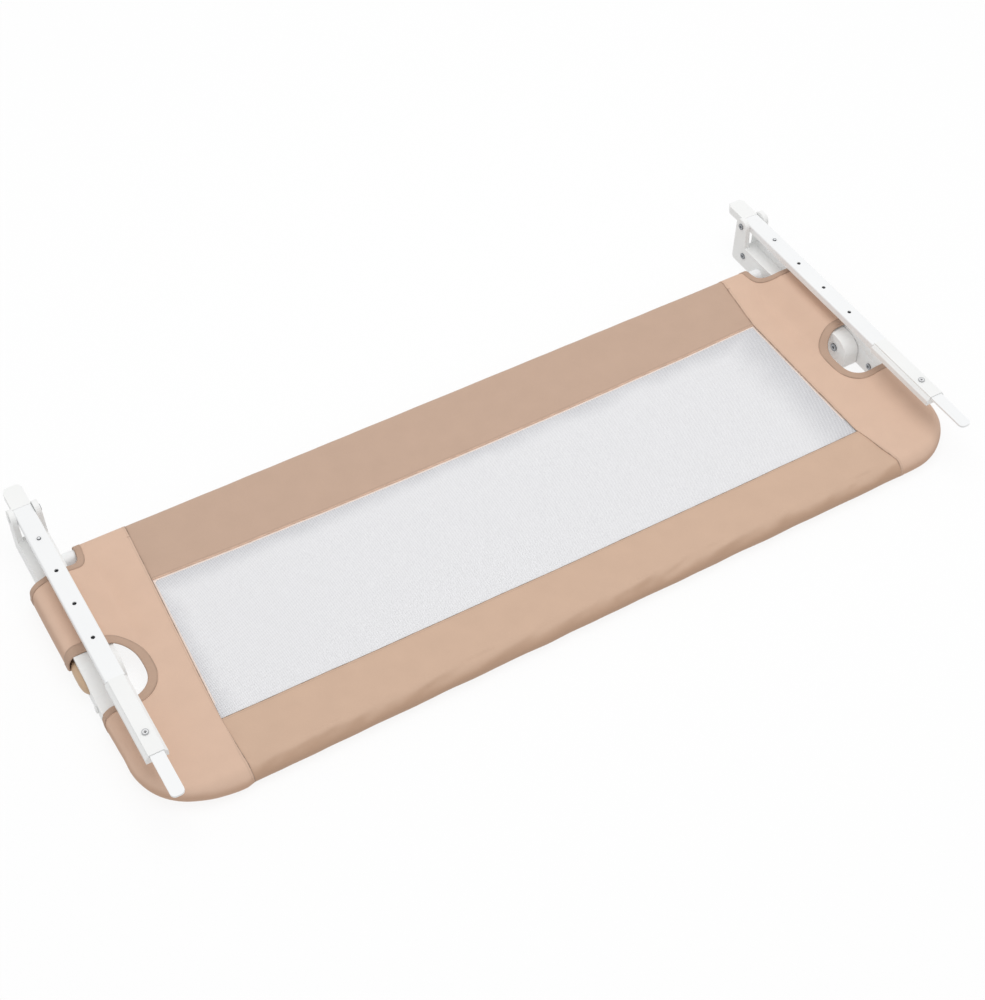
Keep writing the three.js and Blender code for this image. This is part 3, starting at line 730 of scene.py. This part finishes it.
def domed_button(side, name):
    """The release button's crown: a long pebble on the hinge arm's outer side."""
    low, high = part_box(f"release_button_{name}")
    middle = (Vector(low) + Vector(high)) / 2
    half = (Vector(high) - Vector(low)) / 2
    mesh = bmesh.new()
    bmesh.ops.create_uvsphere(mesh, u_segments=48, v_segments=28, radius=1)
    for vertex in mesh.verts:
        vertex.co.y = math.copysign(abs(vertex.co.y) ** crown_fullness, vertex.co.y)
    parts = mesh.verts[:] + mesh.edges[:] + mesh.faces[:]
    cut = bmesh.ops.bisect_plane(
        mesh, geom=parts, plane_co=(0, 0, 0), plane_no=(side, 0, 0), clear_inner=True)
    rim = [edge for edge in cut["geom_cut"] if isinstance(edge, bmesh.types.BMEdge)]
    bmesh.ops.edgeloop_fill(mesh, edges=rim)
    bmesh.ops.scale(mesh, vec=(crown_height, half.y, half.z), verts=mesh.verts)
    base = (high[0] if side > 0 else low[0]) - side * crown_base
    bmesh.ops.translate(mesh, vec=(base, middle.y, middle.z), verts=mesh.verts)
    bmesh.ops.recalc_face_normals(mesh, faces=mesh.faces)
    return placed(f"button_crown_{name}", mesh)


def coil_spring(side, name):
    """The spring under the lock ring, which gets shorter while the button is pressed. With it come
    its seat and the share of its length that is left then."""
    low, high = (Vector(corner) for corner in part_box(f"release_spring_{name}"))
    middle = (low + high) / 2
    wire, turns, steps = 0.0006, 3, 72
    length = high.x - low.x
    mesh = bmesh.new()
    bmesh.ops.create_circle(mesh, segments=12, radius=wire)
    start = Vector((low.x + wire, high.y - wire, middle.z))
    bmesh.ops.translate(mesh, vec=start, verts=mesh.verts)
    bmesh.ops.spin(
        mesh, geom=mesh.verts[:] + mesh.edges[:],
        cent=(start.x, middle.y, middle.z), axis=(1, 0, 0),
        dvec=((length - 2 * wire) / steps, 0, 0), angle=turns * math.tau, steps=steps)
    bmesh.ops.holes_fill(mesh, edges=[edge for edge in mesh.edges if edge.is_boundary])
    bmesh.ops.recalc_face_normals(mesh, faces=mesh.faces)
    inner = low.x if side > 0 else high.x
    piece = placed(f"spring_coil_{name}", mesh)
    return piece, (inner, middle.y, middle.z), 1 - button_travel / length


# Finishes

class Value:
    """A number that changes over a surface, for sums in Python."""

    def __init__(self, finish, socket):
        self.finish, self.socket = finish, socket

    def sum(self, operation, *others):
        sockets = dict(enumerate((self, *others)))
        return self.finish.node("ShaderNodeMath", {"operation": operation}, sockets)

    def turned(self, operation, other):
        return self.finish.node("ShaderNodeMath", {"operation": operation}, {0: other, 1: self})

    def __add__(self, other):
        return self.sum("ADD", other)

    def __radd__(self, other):
        return self.turned("ADD", other)

    def __sub__(self, other):
        return self.sum("SUBTRACT", other)

    def __rsub__(self, other):
        return self.turned("SUBTRACT", other)

    def __mul__(self, other):
        return self.sum("MULTIPLY", other)

    def __rmul__(self, other):
        return self.turned("MULTIPLY", other)

    def __abs__(self):
        return self.sum("ABSOLUTE")


class Nodes:
    """A node tree and the one way in which nodes are added to it."""

    def __init__(self, tree):
        self.tree = tree
        tree.nodes.clear()

    def node(self, kind, settings=None, sockets=None, result=0):
        made = self.tree.nodes.new(kind)
        for name, setting in (settings or {}).items():
            setattr(made, name, setting)
        for name, value in (sockets or {}).items():
            if isinstance(value, Value):
                self.tree.links.new(value.socket, made.inputs[name])
            else:
                made.inputs[name].default_value = value
        return Value(self, made.outputs[result]) if made.outputs else None

    def place(self):
        """The place on the object."""
        return self.node("ShaderNodeTexCoord", {}, {}, "Object")

    def flat(self):
        """The place on the flat cloth."""
        return self.node("ShaderNodeUVMap", {"uv_map": "weave"})

    def parts(self, place, *axes):
        return [self.node("ShaderNodeSeparateXYZ", {}, {0: place}, axis) for axis in axes]

    def measure(self, name):
        """A number that the mesh carries at each vertex."""
        return self.node("ShaderNodeAttribute", {"attribute_name": name}, {}, "Fac")

    def mixed(self, share, first, second):
        settings = {"data_type": "RGBA", "clamp_factor": True}
        return self.node("ShaderNodeMix", settings, {0: share, 6: first, 7: second}, 2)

    def ramp(self, value, low, high):
        """From 0 at low to 1 at high, without steps."""
        return self.node("ShaderNodeMapRange", {"interpolation_type": "SMOOTHSTEP"}, {
            "Value": value, "From Min": low, "From Max": high})

    def noise(self, place, scale, detail):
        return self.node("ShaderNodeTexNoise", {}, {
            "Vector": place, "Scale": scale, "Detail": detail})

    def bump(self, height, depth, strength=1.0):
        return self.node("ShaderNodeBump", {}, {
            "Height": height, "Distance": depth, "Strength": strength})


def colour(red, green, blue):
    """A colour as it is seen on a screen, from 0 to 255, as the light that it stands for."""
    return tuple(
        (part / 255 / 12.92 if part <= 10 else ((part / 255 + 0.055) / 1.055) ** 2.4)
        for part in (red, green, blue)) + (1.0,)


def dyed(shade, *shares):
    """A colour times one share, or times one each for red, green and blue."""
    each = shares * 3 if len(shares) == 1 else shares
    return tuple(min(part * share, 1) for part, share in zip(shade, each)) + (1.0,)


def material(name):
    made = bpy.data.materials.new(name)
    made.use_nodes = True
    return made, Nodes(made.node_tree)


def surface(nodes, sockets):
    shader = nodes.node("ShaderNodeBsdfPrincipled", {}, sockets)
    nodes.node("ShaderNodeOutputMaterial", {}, {"Surface": shader})


def woven(name, shade, stitch_line=0.0032, edge=0.44, lean_shade=0.85, steep=0.7):
    """Woven polyester: crossed yarns, a slightly uneven dye and a row of stitches by the seams.
    The stitch line is painted darker, as shade in its groove. Painted shade also darkens the
    cloth where it leans away, past the angle called steep, and along its seam edges, where an
    edge share above 1 paints a paler lip."""
    yarn_pitch, stitch_length = 0.0009, 0.0032
    thread_edge, shade_line_width, shade_line_wobble = (0.0001, 0.0006), (0.0006, 0.0015), 0.0012
    made, nodes = material(name)
    flat = nodes.flat()
    x, y = nodes.parts(flat, 0, 1)
    warp, weft = ((axis * (math.pi / yarn_pitch)).sum("SINE") for axis in (x, y))
    yarns = warp * weft
    tint = nodes.noise(flat, 28.0, 3.0)
    slub = nodes.noise(flat, 900.0, 2.0)
    tone = tint * 0.45 + slub * 0.35 + yarns * 0.1 + 0.1
    dark, light, shadow = (dyed(shade, share) for share in (0.86, 1.07, 0.72))
    cloth = nodes.mixed(tone, dark, light)
    inset = nodes.measure("inset")
    # The stitch row is painted darker, as shade in its groove.
    line = 1 - nodes.ramp(abs(inset - stitch_line), *thread_edge)
    dash = nodes.ramp(abs(((x + y) * (math.pi / stitch_length)).sum("SINE")), 0.2, 0.5)
    thread = line * dash
    cloth = nodes.mixed(line * 0.3 + thread * 0.15, cloth, shadow)
    # Painted shade: the cloth is painted darker the further it leans away from upright, past steep.
    lean = nodes.measure("lean") + (nodes.noise(flat, 45.0, 2.0) - 0.5) * 0.35
    lean_shade_tone = dyed(shade, 0.8, 0.74, 0.69)
    cloth = nodes.mixed(nodes.ramp(lean, steep, steep + 0.7) * lean_shade, cloth, lean_shade_tone)
    # Painted shade along the seam edges, where each lapped edge shades the cloth, broken into
    # patches; an edge share above 1 paints a paler lip.
    patches = nodes.ramp(nodes.noise(flat, 60.0, 1.0), 0.4, 0.6)
    rim = nodes.mixed(patches, dyed(shade, edge), dyed(shade, edge + 0.22))
    shade_line_inset = inset + (nodes.noise(flat, 260.0, 1.0) - 0.5) * shade_line_wobble
    cloth = nodes.mixed(1 - nodes.ramp(shade_line_inset, *shade_line_width), cloth, rim)
    height = yarns * 0.5 + slub * 0.5 - line * 2.0 + thread * 1.4
    surface(nodes, {
        "Base Color": cloth, "Roughness": slub * 0.1 + 0.82,
        "Normal": nodes.bump(height, 0.00012),
        "Sheen Weight": 0.1, "Sheen Roughness": 0.4, "Specular IOR Level": 0.3})
    return made


def net():
    """A fine net of slanting threads. Painted shade greys it towards its far edge and both ends, so
    its threads show most there. A pale lip of cloth lies along its edges, except by the near band."""
    pitch = 0.0026
    lip_width, lip_along = (0.0016, 0.0028), (0.09, 0.1)
    far_fade, right_fade, left_fade = (0.0, 0.036), (0.0, 0.075), (-0.004, 0.03)
    made, nodes = material("net")
    flat = nodes.flat()
    x, y = nodes.parts(flat, 0, 1)
    rising, falling = (abs((slant * (math.pi / pitch)).sum("SINE")) for slant in (x + y, x - y))
    thread = 1 - nodes.ramp(rising.sum("MINIMUM", falling), 0.3, 0.7)
    drift = (nodes.noise(flat, 14.0, 2.0) - 0.5) * 0.03
    # Painted shade greys the net towards its far edge and both ends, beside the cloth.
    by_far_edge = 1 - nodes.ramp(window_far - y + drift, *far_fade)
    by_right_end = 1 - nodes.ramp(window_out - x + drift, *right_fade)
    by_left_end = (1 - nodes.ramp(window_out + x + drift, *left_fade)) * 0.7
    shade_by_edge = by_far_edge.sum("MAXIMUM", by_right_end).sum("MAXIMUM", by_left_end)
    gap = nodes.mixed(shade_by_edge, colour(238, 238, 240), colour(188, 189, 193))
    strand = nodes.mixed(shade_by_edge, colour(246, 246, 248), colour(237, 237, 240))
    lip = (1 - nodes.ramp(nodes.measure("inset"), *lip_width)) * nodes.ramp(y, *lip_along)
    pale = nodes.mixed(lip, nodes.mixed(thread, gap, strand), colour(250, 233, 222))
    cover = (thread * 0.25 + 0.75 + lip).sum("MINIMUM", 1.0)
    surface(nodes, {
        "Base Color": pale, "Roughness": thread * 0.1 + 0.6, "Alpha": cover,
        "Normal": nodes.bump(thread, 0.0002), "Specular IOR Level": 0.3})
    return made


def powder_coat():
    """White powder coat on steel: a fine orange peel."""
    made, nodes = material("white_powder_coat")
    place = nodes.place()
    peel = nodes.noise(place, 420.0, 2.0)
    wide = nodes.noise(place, 9.0, 2.0)
    paint = nodes.mixed(wide, colour(240, 241, 242), colour(246, 247, 247))
    surface(nodes, {
        "Base Color": paint, "Roughness": peel * 0.12 + 0.3,
        "Normal": nodes.bump(peel, 0.0001, 0.5)})
    return made


def moulded(name, low, high, grain):
    """Moulded plastic with a fine grain."""
    made, nodes = material(name)
    place = nodes.place()
    fine = nodes.noise(place, grain, 3.0)
    wide = nodes.noise(place, 22.0, 2.0)
    surface(nodes, {
        "Base Color": nodes.mixed(wide, low, high), "Roughness": fine * 0.15 + 0.42,
        "Normal": nodes.bump(fine, 0.00008, 0.6)})
    return made


def plated(name, low, high, smoothness):
    """Plated steel, slightly cloudy, with turning marks."""
    made, nodes = material(name)
    place = nodes.place()
    cloud = nodes.noise(place, 260.0, 3.0)
    marks = nodes.noise(place, 1500.0, 2.0)
    surface(nodes, {
        "Base Color": nodes.mixed(cloud, low, high), "Metallic": 1.0,
        "Roughness": marks * 0.2 + smoothness, "Normal": nodes.bump(marks, 0.00004, 0.5)})
    return made


def centre(corners):
    return [(low + high) / 2 for low, high in zip(*corners)]


def screw_head(node, upright, low, high, arm, metal):
    """A screw's head with a cross recess, drawn round the screw's own middle as painted shade and a
    bump, and with painted shade round the head's edge. The arm is half the recess's width. A pin
    across the rail is painted white at its outer end."""
    paint_start = 0.002, 0.003
    made, nodes = material(f"{node}_finish")
    place = nodes.place()
    middle = centre(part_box(node))
    axes = (0, 1) if upright else (1, 2)
    first, second = (
        part - middle[axis] for part, axis in zip(nodes.parts(place, *axes), axes))
    wide, narrow = abs(first).sum("MAXIMUM", abs(second)), abs(first).sum("MINIMUM", abs(second))
    slot, ends = nodes.ramp(narrow, arm * 0.2, arm * 0.34), nodes.ramp(wide, arm * 0.85, arm)
    # Painted shade: the cross recess is drawn near black, and the head greyer round its edge.
    cross = (1 - slot) * (1 - ends)
    reach = (first * first + second * second).sum("SQRT")
    ring = nodes.ramp(reach, arm * 1.7, arm * 2.1)
    cloud = nodes.noise(place, 700.0, 2.0)
    plate = nodes.mixed(ring * 0.6, nodes.mixed(cloud, low, high), colour(110, 112, 116))
    face = nodes.mixed(cross, plate, colour(46, 47, 50))
    if not upright:
        across, = nodes.parts(place, 0)
        painted = nodes.ramp(abs(across) - abs(middle[0]), *paint_start)
        face, metal = nodes.mixed(painted, face, colour(238, 239, 239)), (1 - painted) * metal
    surface(nodes, {
        "Base Color": face, "Metallic": metal,
        "Roughness": cloud * 0.15 + 0.32, "Normal": nodes.bump(0 - cross, 0.0005)})
    return made


def snap_head():
    """The snap button: a pale crown in a ring of painted shade, where it passes the leg's wall."""
    shade_ring_edge = 0.0016, 0.002
    made, nodes = material("snap_head")
    place = nodes.place()
    middle = centre(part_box("snap_button_right"))
    x, y = nodes.parts(place, 0, 1)
    out, along = abs(x) - middle[0], y - middle[1]
    # Painted shade in the gap round the button.
    ring = nodes.ramp((out * out + along * along).sum("SQRT"), *shade_ring_edge)
    cloud = nodes.noise(place, 500.0, 2.0)
    crown = nodes.mixed(cloud, colour(214, 216, 218), colour(230, 231, 233))
    surface(nodes, {
        "Base Color": nodes.mixed(ring, crown, colour(104, 106, 110)),
        "Roughness": cloud * 0.1 + 0.35, "Metallic": ring * 0.4})
    return made


# Floor, light and camera

def floor():
    """A plain pale floor that the white background shows through, so its shadows stay faint."""
    half_width, level, clearness = 6, -0.0004, 0.86
    mesh = bmesh.new()
    bmesh.ops.create_grid(mesh, x_segments=1, y_segments=1, size=half_width)
    bmesh.ops.translate(mesh, vec=(0, 0, level), verts=mesh.verts)
    ground = placed("floor", mesh)
    made, nodes = material("floor")
    lit = nodes.node("ShaderNodeBsdfDiffuse", {}, {"Color": colour(250, 250, 250)})
    clear = nodes.node("ShaderNodeBsdfTransparent")
    both = nodes.node("ShaderNodeMixShader", {}, {0: clearness, 1: lit, 2: clear})
    nodes.node("ShaderNodeOutputMaterial", {}, {"Surface": both})
    ground.data.materials.append(made)


def studio():
    """Even light from all round and one large soft lamp. What the camera, gloss and glass see
    past the object is white."""
    even_light, white = 0.72, (1, 1, 1, 1)
    world = bpy.data.worlds.new("studio")
    bpy.context.scene.world = world
    world.use_nodes = True
    nodes = Nodes(world.node_tree)
    seen, gloss, glass = (
        nodes.node("ShaderNodeLightPath", {}, {}, f"Is {ray} Ray")
        for ray in ("Camera", "Glossy", "Transmission"))
    light, background = (
        nodes.node("ShaderNodeBackground", {}, {"Color": white, "Strength": strength})
        for strength in (even_light, 1.0))
    plain = (seen + gloss + glass).sum("MINIMUM", 1.0)
    both = nodes.node("ShaderNodeMixShader", {}, {0: plain, 1: light, 2: background})
    nodes.node("ShaderNodeOutputWorld", {}, {"Surface": both})
    lamp = bpy.data.lights.new("soft_lamp", "AREA")
    lamp.shape = "DISK"
    lamp.size = 2.6
    lamp.energy = 33
    holder = bpy.data.objects.new("soft_lamp", lamp)
    bpy.context.scene.collection.objects.link(holder)
    spot = Vector((0.25, 0.35, 3.0))
    holder.location = spot
    holder.rotation_mode = "QUATERNION"
    holder.rotation_quaternion = (-spot).to_track_quat("-Z", "Y")


def camera():
    """The photograph's view: turned, tilted down and slightly rolled."""
    spot = Vector((-0.81073, -1.34272, 1.79173))
    turn, tilt, roll = (math.radians(angle) for angle in (-30.948, 49.045, -0.733))
    ahead = Vector((
        -math.sin(turn) * math.cos(tilt), math.cos(turn) * math.cos(tilt), -math.sin(tilt)))
    level = Vector((math.cos(turn), math.sin(turn), 0))
    down = ahead.cross(level)
    across = level * math.cos(roll) + down * math.sin(roll)
    below = down * math.cos(roll) - level * math.sin(roll)
    lens = bpy.data.cameras.new("camera")
    lens.lens = 65.059
    lens.sensor_width = 36
    holder = bpy.data.objects.new("camera", lens)
    bpy.context.scene.collection.objects.link(holder)
    facing = Matrix((across, -below, -ahead)).transposed().to_4x4()
    holder.matrix_world = Matrix.Translation(spot) @ facing
    bpy.context.scene.camera = holder


bpy.context.scene.view_settings.view_transform = "Standard"
camera()
studio()
floor()

finishes = {
    "white_steel": powder_coat(),
    "white_plastic": moulded("white_plastic", colour(239, 240, 239), colour(245, 245, 244), 900.0),
    "grey_steel": plated("zinc_plate", colour(128, 130, 134), colour(168, 170, 173), 0.3),
    # Painted shade: the slide bar inside the leg is near black so that the leg's holes show dark.
    "dark_steel": plated("dark_steel", colour(44, 45, 47), colour(58, 59, 61), 0.5),
    "tan_plastic": moulded("tan_plastic", colour(196, 165, 134), colour(208, 178, 147), 700.0),
}
# Painted shade on each cloth, where it leans away and along its seam edges: the right side cloth's
# seam shade is lighter than the left's, the near band's lean shade starts at a smaller lean, the
# far band's edges are painted paler, and the binding gets little lean shade. The bands are coloured
# darker than the side cloth.
sand = woven("sand_cloth", colour(222, 190, 168))
sand_right_less_shade = woven("sand_right_cloth", colour(222, 190, 168), edge=0.62)
sand_band = woven("sand_band_cloth", colour(211, 180, 157), steep=0.32)
taupe = woven("taupe_cloth", colour(199, 170, 150), edge=1.3)
brown = woven("binding_cloth", colour(192, 163, 143), stitch_line=0.0015, edge=0.8, lean_shade=0.2)

for part in frame["record"]["subparts"]:
    finish = finishes.get(part["material_slot"], sand)
    node = frame["nodes"][part["node"]]
    node.data.materials.clear()
    node.data.materials.append(finish)

# The small metal heads are drawn in their pieces' own finishes. Each cross recess has its arm.
recesses = {
    "bracket_screw": 0.0018, "leg_pivot_pin": 0.0018, "hinge_pin": 0.0022, "arm_bolt": 0.002}
zinc, bright = colour(150, 152, 156), colour(176, 178, 181)
cream, white = colour(226, 227, 228), colour(238, 238, 239)
snap = snap_head()
for side_name in ("left", "right"):
    for kind, arm in recesses.items():
        name = f"{kind}_{side_name}"
        head = screw_head(name, False, zinc, bright, arm, 1.0)
        frame["nodes"][name].data.materials[0] = head
    name = f"tongue_screw_{side_name}"
    frame["nodes"][name].data.materials[0] = screw_head(name, True, cream, white, 0.0017, 0.0)
    frame["nodes"][f"snap_button_{side_name}"].data.materials[0] = snap


def fitted(piece, finish, body=None):
    """Gives a piece its finish and lets it ride on a body; without one, its place is baked into its
    mesh.
    """
    piece.data.materials.clear()
    piece.data.materials.append(finish)
    if body:
        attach(piece, body)
    else:
        at(0, fold_along + 0.012, 0.022)
        at(0, fold_along - 0.012, 0.022)
        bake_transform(piece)


band = near_band()
fitted(band, sand_band, "upper_frame")
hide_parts("cover_near_band", "cover_top_roll")
hem = far_band()
fitted(hem, taupe, "lower_frame")
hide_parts("cover_far_band", "cover_hem_roll")
window = net_window()
fitted(window, net())
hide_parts("mesh_window_upper", "mesh_window_lower")
for side, side_name in ((-1, "left"), (1, "right")):
    panel = side_panel(side, f"side_cloth_{side_name}")
    fitted(panel, sand if side < 0 else sand_right_less_shade)
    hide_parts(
        f"cover_upper_{side_name}", f"cover_lower_{side_name}", f"side_sleeve_{side_name}")
    tape = edge_bindings(side, f"edge_binding_{side_name}")
    fitted(tape, brown)
    crown = domed_button(side, side_name)
    fitted(crown, finishes["tan_plastic"], f"release_{side_name}")
    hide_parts(f"release_button_{side_name}")
    spring, seat, pressed = coil_spring(side, side_name)
    fitted(spring, finishes["grey_steel"], "lower_frame")
    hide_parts(f"release_spring_{side_name}")
    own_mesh(spring)
